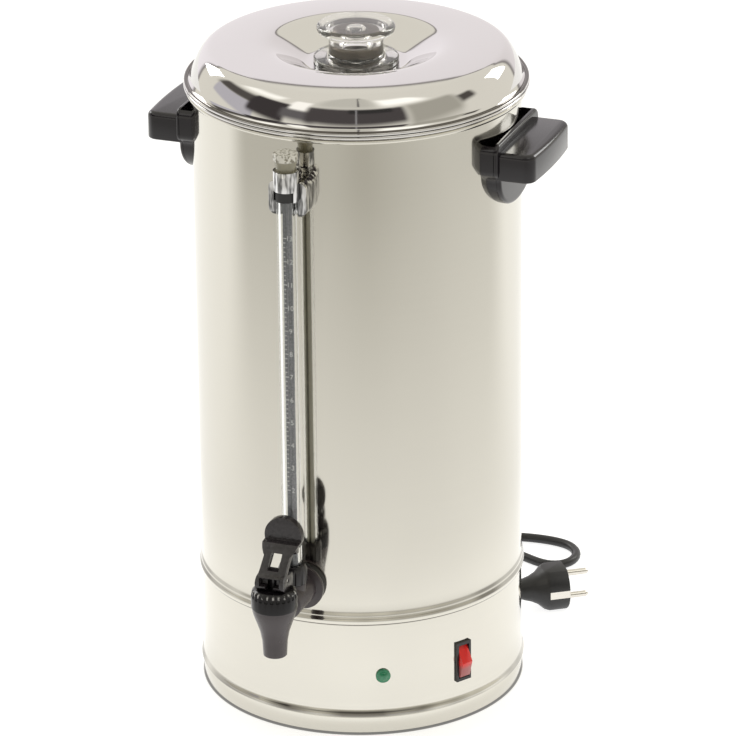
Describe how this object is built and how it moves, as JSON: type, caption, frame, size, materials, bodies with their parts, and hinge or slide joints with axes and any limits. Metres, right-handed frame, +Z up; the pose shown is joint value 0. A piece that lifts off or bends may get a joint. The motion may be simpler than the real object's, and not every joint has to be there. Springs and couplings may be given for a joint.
{
  "type": "coffee_urn",
  "caption": "Tall stainless steel percolator coffee urn with a lift-off lid, a drain tap under a sight gauge, two black side handles and a lit rocker switch.",
  "frame": {"origin": "on the table under the middle of the tank", "axes": "+Z up along the tank's axis; the tap and sight gauge point to -Y, the handles to -X and +X, the mains lead leaves at +Y"},
  "size_m": [0.297, 0.444, 0.5041],
  "materials": {
    "tank": "satin polished",
    "bright": "mirror polished",
    "zinc": "plated",
    "brass": "plain",
    "black_plastic": "semi-gloss moulded",
    "rubber": "matt",
    "clear": "clear",
    "scale": "matt with plain white numbers",
    "white_plastic": "matt",
    "green_lens": "translucent",
    "red_plastic": "glossy",
    "nickel": "nickel plated"
  },
  "bodies": {
    "base": {"tank_shell": "tank", "base_skirt": "tank", "bottom_ring": "tank", "handle_screws": "bright", "gauge_bracket": "bright", "gauge_bracket_screw": "bright", "switch_terminals": "bright", "bottom_plate": "zinc", "bottom_screws": "zinc", "heater_clamp": "zinc", "brew_heater": "zinc", "warming_heater": "zinc", "thermal_cutout": "zinc", "handle_inserts": "brass", "earth_stud": "brass", "handle_left": "black_plastic", "handle_right": "black_plastic", "tap_body": "black_plastic", "tap_nut": "black_plastic", "tap_bonnet": "black_plastic", "gauge_union_nut": "black_plastic", "thermostat": "black_plastic", "lamp_body": "black_plastic", "switch_housing": "black_plastic", "gland_nut": "black_plastic", "foot_ring": "rubber", "handle_seals": "rubber", "tap_outer_seal": "rubber", "tap_inner_seal": "rubber", "gauge_lower_seal": "rubber", "gauge_top_seal": "rubber", "gland_boot": "rubber", "cord_lead": "rubber", "cord_coil": "rubber", "cord_end": "rubber", "cord_tie": "rubber", "plug_body": "rubber", "wiring": "rubber", "gauge_glass": "clear", "gauge_cap": "clear", "gauge_scale": "scale", "terminal_block": "white_plastic", "lamp_lens": "green_lens", "plug_pins": "nickel", "plug_earth_clips": "nickel"},
    "lid": {"lid_shell": "bright", "lid_middle": "bright", "lid_knob": "clear", "knob_nut": "bright"},
    "spreader": {"basket_spreader": "bright"},
    "basket": {"coffee_basket": "bright"},
    "pump": {"pump_tube": "bright"},
    "stem": {"tap_stem": "black_plastic", "tap_seat_cup": "rubber"},
    "lever": {"tap_lever": "black_plastic", "tap_lever_pin": "bright"},
    "rocker": {"switch_rocker": "red_plastic"}
  },
  "joints": [
    {"name": "lid_lift", "type": "slide", "parent": "base", "child": "lid", "axis": [0, 0, 1], "range_m": [0, 0.5]},
    {"name": "spreader_lift", "type": "slide", "parent": "base", "child": "spreader", "axis": [0, 0, 1], "range_m": [0, 0.46]},
    {"name": "basket_lift", "type": "slide", "parent": "base", "child": "basket", "axis": [0, 0, 1], "range_m": [0, 0.43]},
    {"name": "pump_lift", "type": "slide", "parent": "base", "child": "pump", "axis": [0, 0, 1], "range_m": [0, 0.4]},
    {"name": "tap_valve", "type": "slide", "parent": "base", "child": "stem", "axis": [0, 0, 1], "range_m": [0, 0.005], "stiffness_N_per_m": 60},
    {"name": "tap_lever", "type": "hinge", "parent": "stem", "child": "lever", "pos_m": [0, -0.176, 0.147], "axis": [1, 0, 0], "range_deg": [0, 50], "stiffness_Nm_per_rad": 0.03},
    {"name": "rocker", "type": "hinge", "parent": "base", "child": "rocker", "pos_m": [0.09959, -0.06103, 0.047], "axis": [0.5225, 0.8526, 0], "range_deg": [0, 18]}
  ],
  "couplings": [
    {"joint": "spreader_lift", "follows": "lid_lift", "ratio": 0.92},
    {"joint": "basket_lift", "follows": "lid_lift", "ratio": 0.86},
    {"joint": "pump_lift", "follows": "lid_lift", "ratio": 0.8},
    {"joint": "tap_lever", "follows": "tap_valve", "rad_per_m": 174.5}
  ]
}
